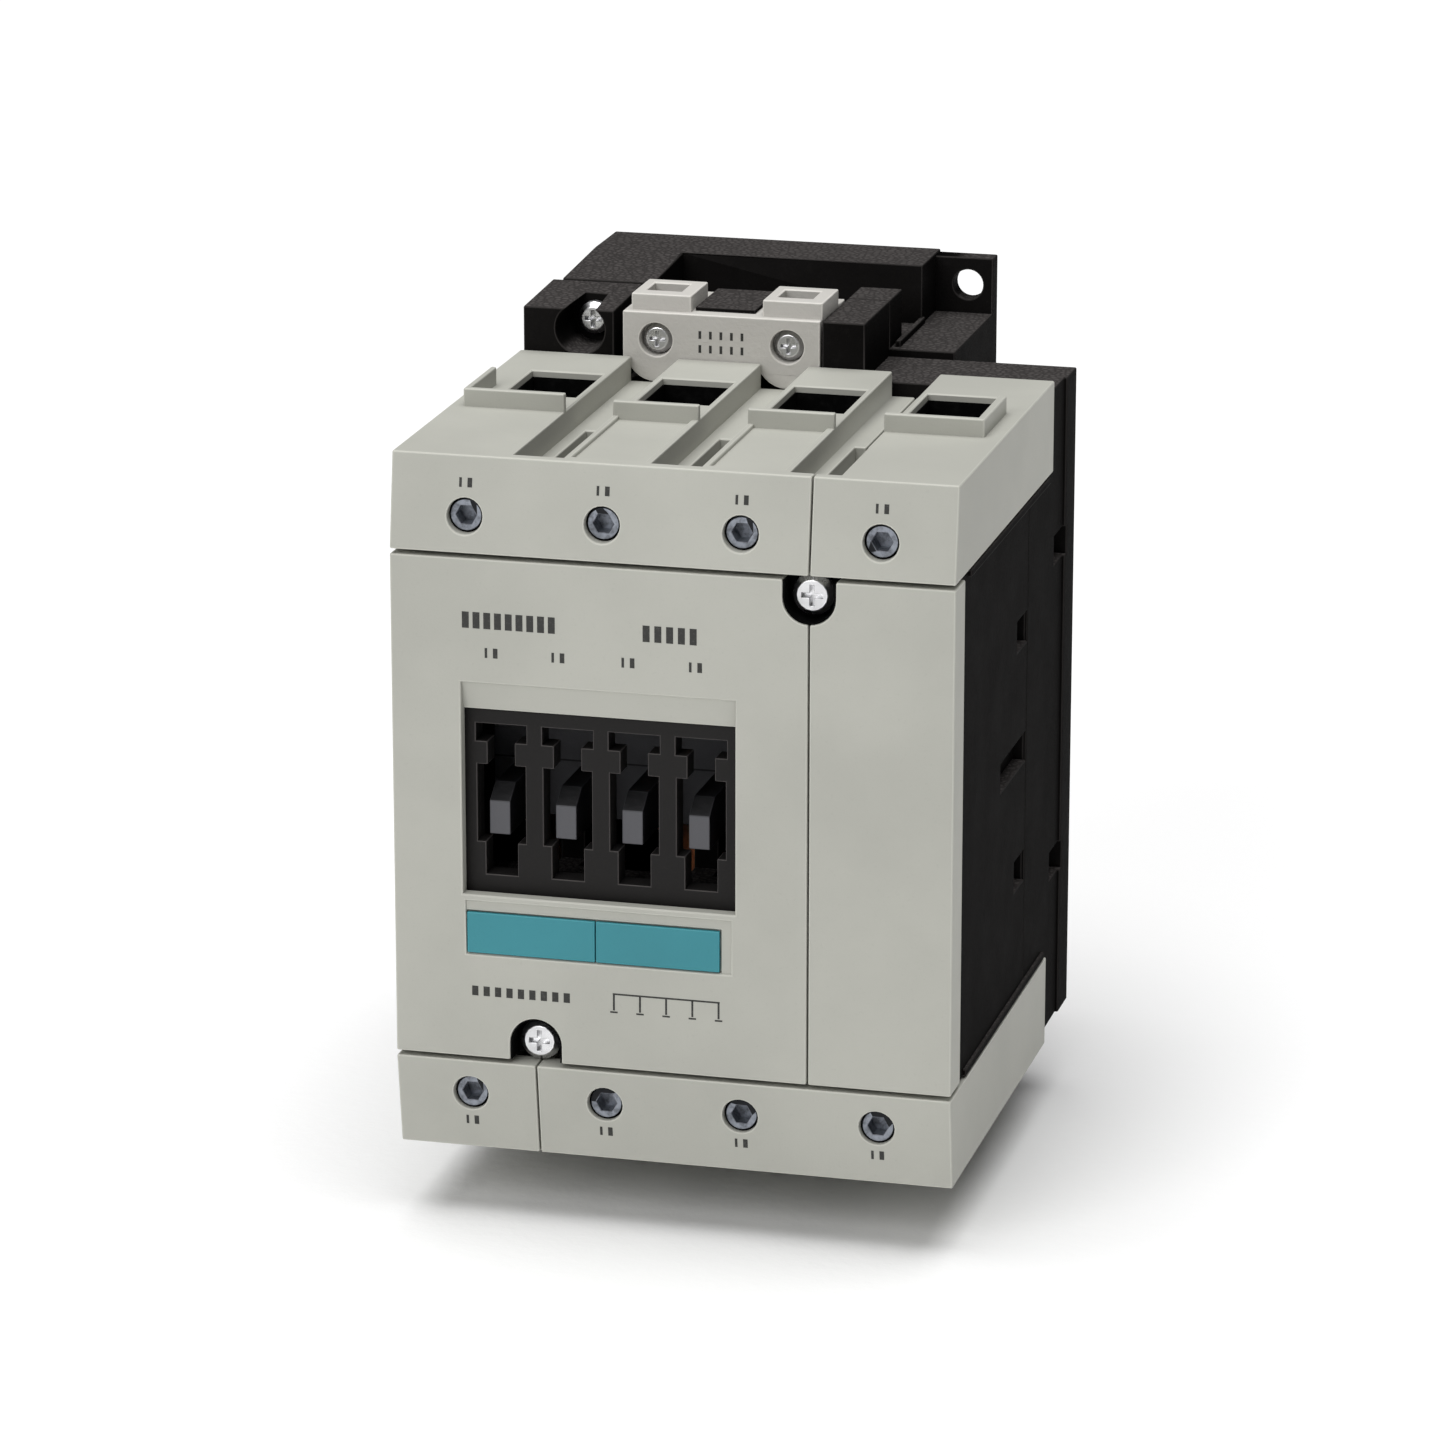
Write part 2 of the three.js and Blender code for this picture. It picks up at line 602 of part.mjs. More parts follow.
function coilBobbin() {
  const outerX = COIL.core + COIL.wall;
  const outerZ = COIL.coreHalfZ + COIL.wall;
  const sleeve = block(-outerX, outerX, COIL.near, COIL.far, -outerZ, outerZ);
  const flange = (y) => alongY(roundedRectangle(19.6, 27, 3), y, y + COIL.flange);
  const hole = block(-COIL.core, COIL.core, COIL.near - 1, COIL.far + 1, -COIL.coreHalfZ, COIL.coreHalfZ);
  return cut(joined(sleeve, flange(COIL.near), flange(COIL.far - COIL.flange)), hole);
}

function coilWinding() {
  const near = COIL.near + COIL.flange + GAP;
  const far = COIL.far - COIL.flange - GAP;
  const innerX = COIL.core + COIL.wall + GAP;
  const innerZ = COIL.coreHalfZ + COIL.wall + GAP;
  const outer = alongY(roundedRectangle(18.8, 25.8, 5), near, far);
  return cut(outer, block(-innerX, innerX, near - 1, far + 1, -innerZ, innerZ));
}

function magnet() {
  piece(base, "magnet_yoke", magnetYoke(), lamination);
  piece(base, "armature", armature(), lamination);
  piece(base, "coil_bobbin", coilBobbin(), lightPlastic);
  piece(base, "coil_winding", coilWinding(), copper);
  const spring = piece(base, "return_spring", springGeometry(3.9, 1.2, 14.8, 5), springSteel);
  spring.position.set(0, 75.8, 20.6);
}

// ---- coil terminals ----------------------------------------------------------------------------

function coilTerminalBlock() {
  const left = COIL_BLOCK.left - BASE_WIDTH / 2;
  const right = COIL_BLOCK.right - BASE_WIDTH / 2 - 0.1;
  const near = STEP_DEPTH + GAP;
  const xs = COIL_SCREW_X.map((x) => x - BASE_WIDTH / 2);
  const body = block(left, right, near, COIL_BLOCK.back, COIL_BLOCK.low, COIL_BLOCK.high);
  const lobes = xs.map((x) => rod(x, COIL_SCREW_Z - 2, 5.6, near, COIL_BLOCK.back, 32));
  const towers = xs.map((x) => block(x - 4.8, x + 6, 80.4, 92.4, 68, 71.4));
  const holes = xs.map((x) => rod(x, COIL_SCREW_Z, 3, near - 1, 82.5, 24));
  const rooms = xs.map((x) => block(x - 4, x + 4, 82, COIL_BLOCK.back + 1, 59.9, 67));
  const entries = xs.map((x) => block(x - 3, x + 3.4, 83.6, 90, 66, 72.5));
  return cut(joined(body, lobes, towers), holes, rooms, entries);
}

function coilClampPlate() {
  const plate = block(-3.6, 3.6, 91.4, 93, -3.3, 3);
  return cut(plate, rod(0, 0, COIL_SCREW.shankRadius + SCREW_PLAY, 90, 94, 18));
}

function coilTerminals() {
  piece(base, "coil_terminal_block", coilTerminalBlock(), lightPlastic);
  COIL_SCREW_X.forEach((x, i) => {
    const screw = piece(base, "coil_terminal_screw_" + (i + 1), panScrew(COIL_SCREW), zincSteel);
    screw.position.set(x - BASE_WIDTH / 2, COIL_SCREW.front, COIL_SCREW_Z);
    const plate = piece(base, "coil_clamp_plate_" + (i + 1), coilClampPlate(), zincSteel);
    plate.position.set(x - BASE_WIDTH / 2, 0, COIL_SCREW_Z);
  });
}

// ---- rear housing ------------------------------------------------------------------------------

// The upper end of the rear housing: panel on the left, beam at the back, lug on the right.
function baseEnd(withSideBlock) {
  const half = BASE_WIDTH / 2;
  const top = BASE_HEIGHT / 2;
  const low = LUG.low - 1;
  const panel = alongX(
    [[BASE_FRONT, low], [DEPTH, low], [DEPTH, top], [120, top], [BASE_FRONT, top - 1.2]],
    2.2 - half,
    19 - half,
  );
  const beam = block(18 - half, half - LUG.width, 119, DEPTH, low, top);
  const sides = [COIL_SIDE.left - half, COIL_SIDE.right - half];
  const besideCoil = block(...sides, BASE_FRONT, 108, low, COIL_SIDE.high);
  const rim = block(62.8 - half, 63.8 - half, 100, 120, low, COVER_TOP + 0.4);
  const lug = block(half - LUG.width - 1, half, LUG.near, DEPTH, low, top - 0.5);
  const hole = rod(LUG.holeX, LUG.holeZ, LUG.holeR, LUG.near - 1, DEPTH + 1, 32);
  const screwBore = HOUSING_SCREW.shankRadius + SCREW_PLAY;
  const screwHole = rod(EAR.boreX - half, EAR.boreZ, screwBore, BASE_FRONT - 1, 120, 18);
  return cut(joined(panel, beam, rim, lug, withSideBlock ? [besideCoil] : []), hole, screwHole);
}

function rearHousing() {
  const half = BASE_WIDTH / 2;
  const over = half + 1;
  const seatEnd = RAIL.seat + RAIL.slot;
  const core = block(-half, half, BASE_FRONT, DEPTH, -LUG.low, LUG.low);
  const room = block(-31, 31, BASE_FRONT - 1, CAVITY_BACK, -32, 32);
  const seat = block(-over, over, RAIL.seat, seatEnd, -RAIL.half, RAIL.half);
  const mouth = block(-over, over, seatEnd - 0.1, DEPTH + 1, -RAIL.half, RAIL.half - RAIL.lip);
  const wayHalf = LATCH.half + 0.4;
  const latchWay = block(-wayHalf, wayHalf, LATCH.near - GAP, DEPTH + 1, -BASE_HEIGHT / 2 - 1, 1 - RAIL.half);
  const springStub = block(-2.6, 2.6, seatEnd, 132, LATCH.springSeat - 3, LATCH.springSeat);
  const ends = [baseEnd(true), turnedHalf(baseEnd(false))];
  return joined(cut(joined(core, ends), room, seat, mouth, latchWay), springStub);
}

function railLatch() {
  const l = LATCH;
  const plate = block(-l.half, l.half, l.near, l.far, -BASE_HEIGHT / 2 - l.tab, RAIL.lip - RAIL.half);
  const springRoom = block(-3.2, 3.2, l.near - 1, DEPTH, l.springSeat - 3.4, l.springTop);
  const toolSlot = block(-3, 3, l.near - 1, DEPTH, -70, -67.6);
  return cut(plate, springRoom, toolSlot);
}

function rearPieces() {
  piece(base, "rear_housing", rearHousing(), blackPlastic);
  piece(base, "rail_latch", railLatch(), blackPlastic);
  const spring = piece(base, "rail_latch_spring", springGeometry(1.9, 0.8, 14.2, 6), springSteel);
  spring.rotation.x = Math.PI / 2;
  spring.position.set(0, (LATCH.near + LATCH.far) / 2, LATCH.springSeat + GAP);
}

piece(head, "contact_housing", cut(contactHousingBody(), contactHousingHollows()), blackPlastic);
frontCover();
windowPlate();
labelPlates();
terminalHalf("upper", 1, false);
terminalHalf("lower", 5, true);
screwPair(head, "cover_screw", COVER_SCREW, SEAM_X, NOTCH_Z);
screwPair(base, "housing_screw", HOUSING_SCREW, EAR.boreX - BASE_WIDTH / 2, EAR.boreZ);
movingContacts();
magnet();
coilTerminals();
rearPieces();

export default model;
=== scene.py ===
"""Looks of a four-pole power contactor: rounded housings, screws, marks, finishes and a plain studio."""
import functools
import json
import math

import bmesh
import bpy
from mathutils import Matrix, Vector
from mathutils.bvhtree import BVHTree


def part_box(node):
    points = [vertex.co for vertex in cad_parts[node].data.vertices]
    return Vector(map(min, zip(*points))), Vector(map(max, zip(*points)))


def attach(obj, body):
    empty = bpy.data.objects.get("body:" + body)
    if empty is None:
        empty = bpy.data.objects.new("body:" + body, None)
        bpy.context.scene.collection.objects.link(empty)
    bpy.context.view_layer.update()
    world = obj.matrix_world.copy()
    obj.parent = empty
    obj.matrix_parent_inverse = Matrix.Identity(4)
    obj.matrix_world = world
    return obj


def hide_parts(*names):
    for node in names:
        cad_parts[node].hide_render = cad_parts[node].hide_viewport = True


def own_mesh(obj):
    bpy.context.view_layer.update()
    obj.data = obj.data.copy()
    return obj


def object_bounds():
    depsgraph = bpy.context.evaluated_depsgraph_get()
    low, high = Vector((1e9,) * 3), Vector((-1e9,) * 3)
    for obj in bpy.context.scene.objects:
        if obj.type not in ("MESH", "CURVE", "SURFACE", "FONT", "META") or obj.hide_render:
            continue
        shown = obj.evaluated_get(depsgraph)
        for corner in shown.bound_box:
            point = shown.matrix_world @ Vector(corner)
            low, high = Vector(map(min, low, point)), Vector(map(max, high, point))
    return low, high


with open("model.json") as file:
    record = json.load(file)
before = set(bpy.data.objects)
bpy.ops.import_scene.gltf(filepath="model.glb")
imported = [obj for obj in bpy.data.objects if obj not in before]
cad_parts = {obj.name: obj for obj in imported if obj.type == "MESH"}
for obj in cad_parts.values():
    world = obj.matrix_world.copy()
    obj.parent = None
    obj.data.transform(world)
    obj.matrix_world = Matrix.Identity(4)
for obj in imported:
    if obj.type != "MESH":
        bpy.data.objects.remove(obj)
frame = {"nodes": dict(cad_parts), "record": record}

bl_info = {
    "name": "Four-Pole Power Contactor",
    "version": (1, 0, 0),
    "blender": (4, 5, 0),
    "location": "View3D > Sidebar > Contactor",
    "description": "Builds the finishes, screws and marks of a power contactor around its packed frame",
    "category": "Add Mesh",
}

CAD_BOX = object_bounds()
CAD_MIDDLE = (CAD_BOX[0] + CAD_BOX[1]) / 2
MM = 0.001
MERGE = 1e-6
FLAT_ANGLE = math.radians(0.6)
SHARP_ANGLE = math.radians(32)
ROUND_SEGMENTS = 2
ALONG_Y = Matrix.Rotation(math.pi / 2, 4, "X")
RIM = "rim"
CORE = "core"
SLOT_OF = {s["node"]: s["material_slot"] for s in frame["record"]["subparts"]}
BODY_OF = {n: body for body, names in frame["record"]["behaviour"]["bodies"].items() for n in names}
FIXED_BODY = "housing"
TERMINALS = range(1, 9)
SCREWS = ("cover_screw_upper", "cover_screw_lower", "housing_screw_upper", "housing_screw_lower",
          "coil_terminal_screw_1", "coil_terminal_screw_2")
LINED_OPENINGS = [
    o for o in frame["record"]["physics"]["openings"] if o["name"].startswith("conductor_entry")]

# Printed marks, in millimetres across and up the front. A row is its start, its number of bars and
# their pitch; a bar is its width and height; a pair's bars are each an offset and a width.
TITLE_ROWS = (((-24.0, 33.0), 9, 1.85), ((7.0, 32.7), 5, 2.0))
TITLE_BAR = (1.2, 2.8)
LOWER_ROW = ((-23.0, -31.7), 9, 2.0)
LOWER_BAR = (1.1, 1.7)
COIL_ROWS = (((-4.4, 64.9), 5, 1.9), ((-4.4, 62.4), 5, 1.9))
COIL_BAR = (0.5, 1.4)
PAIR_BARS = ((0, 0.45), (1.6, 0.8))
PAIR_STARTS = (-20.5, -9.0, 3.0, 14.5)
PAIR_LEVEL = 27.5
PAIR_HEIGHT = 1.7
TICK_START = 0.8
TICK_HEIGHT = 1.6
UPPER_TICK_RISE = 5.6
LOWER_TICK_RISE = -5.0
DIAGRAM = (1.0, 19.5, -31.5)
BRANCHES = 5
BRANCH_INSET = 0.2
BRANCH_BAR = (0.35, 2.8)
BRANCH_DROP = 0.3
BRANCH_FOOT = 1.3
FOOT_DROP = 2.0
RAIL_RISE = 1.2
LINE_HEIGHT = 0.3

# Linings: the conductor funnels, the black rings of painted shade round the terminal screws,
# the U-shaped screw notches and the plate between the coil block's towers
FUNNEL_MOUTH = 59.3 * MM
FUNNEL_FOOT = 55.1 * MM
FUNNEL_HALF = 6.3 * MM
FUNNEL_NEAR = -87.9 * MM
FUNNEL_FAR = -70.1 * MM
THROAT_RADIUS = 2.98 * MM
THROAT_WALL = 0.12 * MM
THROAT_SETBACK = 0.3 * MM
THROAT_LENGTH = 3 * MM
NOTCH_RADIUS = 4.4 * MM
NOTCH_HOLE = 2.5 * MM
NOTCH_RISE = 2.9 * MM
NOTCH_SETBACK = 0.25 * MM
NOTCH_FLOOR = 4.7 * MM
NOTCH_FLOOR_THICK = 0.15 * MM
NOTCH_STEPS = 16
PLATE_HALF = 5.4 * MM
PLATE_SINK = 2.9 * MM
PLATE_THICK = 0.7 * MM
PLATE_FRONT_GAP = 3 * MM
PLATE_REAR_GAP = 0.2 * MM

# Ejector marks: their spread and second row as shares of the rear face
EJECTOR_SPREAD = (0.36, 0.33)
EJECTOR_SECOND_ROW = 0.62
EJECTOR_RADIUS = 2.4 * MM
EJECTOR_TAPER = 0.9
EJECTOR_DEPTH = 0.16 * MM

# Front ends of the couplings, painted pale as painted light: the dark line across them
BAND = (1.7 * MM, 2.0 * MM)
BAND_SOFTNESS = 0.15 * MM

# Studio
FLOOR_SIZE = 6
KEY_AWAY = (-0.45, -1.5, 0.9)
KEY_SIZE = 1.1
KEY_POWER = 12.5
CEILING_POWER = 3.0
CEILING_SPREAD = math.radians(60)
SKY_POWER = 0.18
SENSOR_WIDTH = 36
CLIP_END = 50


# ---- node trees --------------------------------------------------------------------------------

class Value:
    """A number in a node tree; Python's operators add the Math nodes."""

    def __init__(self, paint, socket):
        self.paint = paint
        self.socket = socket

    def _with(self, operation, first, second):
        node = self.paint.tree.nodes.new("ShaderNodeMath")
        node.operation = operation
        for socket, value in zip(node.inputs, (first, second)):
            self.paint.feed(socket, value)
        return Value(self.paint, node.outputs[0])

    def __add__(self, other):
        return self._with("ADD", self, other)

    def __sub__(self, other):
        return self._with("SUBTRACT", self, other)

    def __rsub__(self, other):
        return self._with("SUBTRACT", other, self)

    def __mul__(self, other):
        return self._with("MULTIPLY", self, other)

    __radd__ = __add__
    __rmul__ = __mul__


class Paint:
    """One material's node tree, with its shader and the coordinates of the piece."""

    def __init__(self, name, **uniform):
        self.material = bpy.data.materials.new(name)
        self.material.use_nodes = True
        self.tree = self.material.node_tree
        self.shader = self.tree.nodes["Principled BSDF"]
        self.place = self.node("ShaderNodeTexCoord").outputs["Object"]
        for socket, value in uniform.items():
            self.feed(self.shader.inputs[socket.replace("_", " ")], value)

    def feed(self, socket, value):
        if isinstance(value, Value):
            value = value.socket
        if isinstance(value, bpy.types.NodeSocket):
            self.tree.links.new(value, socket)
        else:
            socket.default_value = value

    def node(self, kind, settings=None, **inputs):
        made = self.tree.nodes.new(kind)
        for name, value in (settings or {}).items():
            setattr(made, name, value)
        for name, value in inputs.items():
            self.feed(made.inputs[name.replace("_", " ")], value)
        return made

    def stretched(self, scale):
        return self.node("ShaderNodeMapping", Vector=self.place, Scale=scale).outputs[0]

    def noise(self, scale, detail=3.0, roughness=0.55, across=None):
        place = self.stretched(across) if across else self.place
        made = self.node(
            "ShaderNodeTexNoise", Vector=place, Scale=scale, Detail=detail, Roughness=roughness)
        return Value(self, made.outputs["Fac"])

    def cells(self, scale, feature="F1"):
        made = self.node("ShaderNodeTexVoronoi", {"feature": feature}, Vector=self.place, Scale=scale)
        return Value(self, made.outputs["Distance"])

    def ramp(self, value, low, high, to_low=0.0, to_high=1.0):
        made = self.node(
            "ShaderNodeMapRange",
            {"interpolation_type": "SMOOTHSTEP"},
            Value=value, From_Min=low, From_Max=high, To_Min=to_low, To_Max=to_high,
        )
        return Value(self, made.outputs["Result"])

    def axis(self, letter):
        parts = self.node("ShaderNodeSeparateXYZ", Vector=self.place)
        return Value(self, parts.outputs[letter])

    def facing(self, letter):
        """How far the piece's own surface faces along one of its axes."""
        normal = self.node("ShaderNodeTexCoord").outputs["Normal"]
        return Value(self, self.node("ShaderNodeSeparateXYZ", Vector=normal).outputs[letter])

    def marked(self, name):
        made = self.node("ShaderNodeAttribute", {"attribute_name": name})
        return Value(self, made.outputs["Fac"])

    def rim(self):
        return self.marked(RIM)

    def blend(self, factor, first, second):
        made = self.node("ShaderNodeMix", {"data_type": "RGBA"})
        colours = [s for s in made.inputs if s.type == "RGBA"]
        self.feed(made.inputs[0], factor)
        for socket, colour in zip(colours, (first, second)):
            self.feed(socket, (*colour, 1) if isinstance(colour, tuple) else colour)
        return made.outputs[2]

    def finish(self, colour, roughness, height, depth):
        self.feed(self.shader.inputs["Base Color"], colour)
        self.feed(self.shader.inputs["Roughness"], roughness)
        bump = self.node("ShaderNodeBump", Height=height, Distance=depth, Strength=1.0)
        self.feed(self.shader.inputs["Normal"], bump.outputs[0])
        return self.material


def shade(colour, factor):
    return tuple(min(1.0, c * factor) for c in colour)


# ---- finishes ----------------------------------------------------------------------------------

def moulded_plastic(name, colour, roughness, grain=2600.0, depth=0.00003, edge_wear_and_painted_highlight_gain=1.25, shine=0.4):
    """Injection-moulded plastic: fine spark grain, faint flow clouds, and polished edges that are painted
    paler, partly as edge wear and partly as painted highlight.
    """
    paint = Paint(name, Specular_IOR_Level=shine)
    clouds = paint.noise(26.0, 4.0)
    specks = paint.ramp(paint.noise(1900.0, 2.0), 0.62, 0.74)
    scuffs = paint.ramp(paint.noise(210.0, 6.0, 0.7, across=(1.0, 1.0, 6.0)), 0.60, 0.76)
    tint = paint.blend(paint.ramp(clouds, 0.3, 0.7), shade(colour, 0.95), shade(colour, 1.05))
    tint = paint.blend(specks * 0.10, tint, shade(colour, 0.6))
    # Rounded edges painted paler: partly edge wear, partly painted highlight
    tint = paint.blend(paint.rim() * 0.7, tint, shade(colour, edge_wear_and_painted_highlight_gain))
    rough = roughness + 0.10 * paint.noise(90.0) + 0.06 * scuffs - 0.12 * paint.rim()
    fine = paint.noise(grain, 3.0, 0.6)
    return paint.finish(tint, rough, fine + 0.25 * scuffs, depth)


def housing_plastic(name, colour, roughness):
    """Black moulded housing: a coarse leather grain on level faces, which are painted paler as painted
    light, and painted shade on the right-hand faces.
    """
    paint = Paint(name, IOR=1.03)
    flat = paint.facing("Z")
    level = paint.ramp(flat * flat, 0.35, 0.8)
    # Mask of the right-hand faces, for the painted shade below
    side = paint.ramp(paint.facing("X"), 0.6, 0.95)
    leather = paint.ramp(paint.cells(900.0, "DISTANCE_TO_EDGE"), 0.0, 0.3)
    clouds = paint.noise(34.0, 4.0)
    dust = paint.ramp(paint.noise(560.0, 5.0, 0.65), 0.50, 0.78)
    tint = paint.blend(paint.ramp(clouds, 0.3, 0.7), shade(colour, 0.8), shade(colour, 1.25))
    # Painted light: faces that face up or down are painted much paler, with the leather grain in the pale
    tint = paint.blend(level * (0.45 + 0.55 * leather), tint, shade(colour, 8.5))
    tint = paint.blend(dust * 0.25, tint, shade(colour, 2.2))
    # Rounded edges painted much paler: partly edge wear, partly painted highlight
    tint = paint.blend(paint.rim() * 0.7, tint, shade(colour, 5.0))
    # Painted shade: faces that face +X, the right-hand side, are painted darker
    tint = paint.blend(side * 0.7, tint, shade(colour, 0.5))
    rough = roughness + 0.12 * paint.noise(120.0) - 0.10 * paint.rim() + 0.08 * level
    fine = paint.noise(1500.0, 4.0, 0.65) * 0.8
    return paint.finish(tint, rough, fine + level * leather, 0.0001)


def banded_plastic(name, colour, low, high):
    """Dark couplings whose front-facing ends are painted pale as painted light, with a dark line across
    them.
    """
    paint = Paint(name, Specular_IOR_Level=0.25)
    height = paint.axis("Z")
    # Mask of the front-facing faces, for the painted light below
    front = paint.ramp(paint.facing("Y"), -0.95, -0.5, 1.0, 0.0)
    above = paint.ramp(height, low, low + BAND_SOFTNESS)
    line = above * paint.ramp(height, high, high + BAND_SOFTNESS, 1.0, 0.0)
    rub = paint.noise(420.0, 4.0, 0.6, across=(1.0, 1.0, 5.0))
    tint = paint.blend(paint.ramp(rub, 0.35, 0.7), shade(colour, 0.5), colour)
    # Painted light: front-facing faces painted much paler than the dark sides
    tint = paint.blend(front, tint, shade(colour, 8.0))
    tint = paint.blend(front * line * 0.9, tint, shade(colour, 0.3))
    # Rounded edges painted paler: partly edge wear, partly painted highlight
    tint = paint.blend(paint.rim() * 0.5, tint, shade(colour, 4.0))
    return paint.finish(tint, 0.42 + 0.15 * rub, paint.noise(2000.0), 0.00004)


def plated_steel(name, colour, roughness, drawn=(1.0, 1.0, 1.0), tarnish=0.35):
    """Plated metal: fine drawn lines, cloudy passivation, small handling marks, and edges painted paler,
    partly as wear and partly as painted highlight.
    """
    paint = Paint(name, Metallic=1.0)
    lines = paint.noise(1500.0, 3.0, 0.6, across=drawn)
    clouds = paint.ramp(paint.noise(240.0, 5.0, 0.65), 0.35, 0.72)
    marks = paint.ramp(paint.cells(900.0), 0.0, 0.12, 1.0, 0.0)
    tint = paint.blend(clouds * tarnish, colour, shade(colour, 0.62))
    tint = paint.blend(marks * 0.35, tint, shade(colour, 0.4))
    # Rounded edges painted paler: partly wear, partly painted highlight
    tint = paint.blend(paint.rim() * 0.6, tint, shade(colour, 1.35))
    rough = roughness + 0.16 * clouds + 0.10 * lines
    return paint.finish(tint, rough, lines - 0.5 * marks, 0.000012)


def socket_steel(name, colour):
    """A screw head painted near black as painted shade, with a painted glint inside its socket."""
    paint = Paint(name, Metallic=0.8)
    turned = paint.noise(1300.0, 3.0, 0.6)
    # Noise that breaks up the painted glint
    worn = paint.ramp(paint.noise(620.0, 4.0, 0.65), 0.30, 0.62)
    tint = paint.blend(turned, shade(colour, 0.7), shade(colour, 1.3))
    # Painted glint: the faces inside the socket are painted bright
    tint = paint.blend(paint.marked(CORE) * (0.35 + 0.65 * worn), tint, shade(colour, 20.0))
    # Rounded edges painted paler: partly wear, partly painted highlight
    tint = paint.blend(paint.rim() * 0.4, tint, shade(colour, 3.0))
    return paint.finish(tint, 0.42 + 0.15 * turned, turned, 0.00002)


def dark_passage(name, colour):
    """Black moulded lining with a faint sheen of handling marks; it also makes the black rings of painted
    shade in the terminal screw holes.
    """
    paint = Paint(name, IOR=1.08)
    marks = paint.ramp(paint.noise(500.0, 4.0, 0.6), 0.45, 0.75)
    tint = paint.blend(marks, shade(colour, 0.6), shade(colour, 1.6))
    return paint.finish(tint, 0.55 + 0.2 * marks, marks, 0.00003)


def wound_wire(name, colour):
    """Enamelled wire wound in layers: one shallow ridge for every turn, painted darker in the valleys
    between turns as painted shade.
    """
    paint = Paint(name, Metallic=0.85)
    turns = paint.node("ShaderNodeTexWave", {"bands_direction": "Y"}, Vector=paint.place, Scale=520.0)
    ridge = Value(paint, turns.outputs["Fac"])
    clouds = paint.noise(160.0)
    # Painted shade: the low valleys between turns are painted darker
    tint = paint.blend(ridge, shade(colour, 0.45), colour)
    return paint.finish(tint, 0.25 + 0.2 * clouds, ridge, 0.00012)


def stacked_sheet(name, colour):
    """Punched steel sheets stacked side by side, with dark lines between them."""
    paint = Paint(name, Metallic=0.9)
    wave = paint.node("ShaderNodeTexWave", {"bands_direction": "Z"}, Vector=paint.place, Scale=420.0)
    line = paint.ramp(Value(paint, wave.outputs["Fac"]), 0.0, 0.35)
    oil = paint.noise(130.0, 5.0)
    tint = paint.blend(line, shade(colour, 0.35), colour)
    tint = paint.blend(paint.ramp(oil, 0.5, 0.75) * 0.5, tint, shade(colour, 0.6))
    return paint.finish(tint, 0.35 + 0.25 * oil, line, 0.00005)


def printed_ink(name, colour):
    """Pad-printed ink, thin and a little broken."""
    paint = Paint(name, IOR=1.3)
    worn = paint.ramp(paint.noise(1500.0, 4.0, 0.7), 0.5, 0.72)
    tint = paint.blend(worn * 0.5, colour, shade(colour, 3.0))
    return paint.finish(tint, 0.5 + 0.2 * worn, worn, 0.00001)


def studio_floor(name, colour):
    """A pale, matt studio sweep."""
    paint = Paint(name)
    clouds = paint.noise(3.0, 3.0)
    tint = paint.blend(clouds, shade(colour, 0.985), shade(colour, 1.015))
    return paint.finish(tint, 0.75 + 0.1 * clouds, paint.noise(400.0), 0.0001)


# ---- meshes ------------------------------------------------------------------------------------

def placed(name, shape, material, body, stands_for=()):
    """Makes a finished piece of a bmesh, dressed, riding on its body and shaded by its flat faces."""
    mesh = bpy.data.meshes.new(name)
    for face in shape.faces:
        face.smooth = True
    shape.to_mesh(mesh)
    shape.free()
    mesh.materials.append(material)
    mesh.set_sharp_from_angle(angle=SHARP_ANGLE)
    made = bpy.data.objects.new(name, mesh)
    bpy.context.scene.collection.objects.link(made)
    weighted = made.modifiers.new("Even Shading", "WEIGHTED_NORMAL")
    weighted.keep_sharp = True
    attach(made, body)
    if stands_for:
        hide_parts(*stands_for)
    return made


def placed_in_black(name, shape):
    placed(name, shape, MATERIALS["lining"], FIXED_BODY)


def printed(name, shape):
    placed(name, shape, MATERIALS["ink"], FIXED_BODY)


def merged_copy(node):
    """A CAD part's shape with shared corners and whole flat faces."""
    shape = bmesh.new()
    shape.from_mesh(frame["nodes"][node].data)
    bmesh.ops.remove_doubles(shape, verts=shape.verts, dist=MERGE)
    bmesh.ops.dissolve_limit(
        shape, angle_limit=FLAT_ANGLE, verts=shape.verts, edges=shape.edges,
        use_dissolve_boundaries=False)
    return shape


def worth_rounding(edge, width):
    return (
        len(edge.link_faces) == 2
        and edge.is_convex
        and edge.calc_length() > 1.6 * width
        and edge.calc_face_angle() > SHARP_ANGLE
    )


def round_edges(shape, width):
    """Rounds the outer edges and marks the new faces as rims, which the finishes polish and paint paler,
    partly as edge wear and partly as painted highlight.
    """
    rim = shape.faces.layers.float.new(RIM)
    edges = [e for e in shape.edges if worth_rounding(e, width)]
    made = bmesh.ops.bevel(
        shape, geom=edges, offset=width, offset_type="OFFSET", segments=ROUND_SEGMENTS,
        profile=0.5, affect="EDGES", clamp_overlap=False, material=-1)
    for face in made["faces"]:
        face[rim] = 1.0


def rounded_part(node, width, material):
    shape = merged_copy(node)
    round_edges(shape, width)
    return placed(node + "_shell", shape, material, BODY_OF[node], (node,))


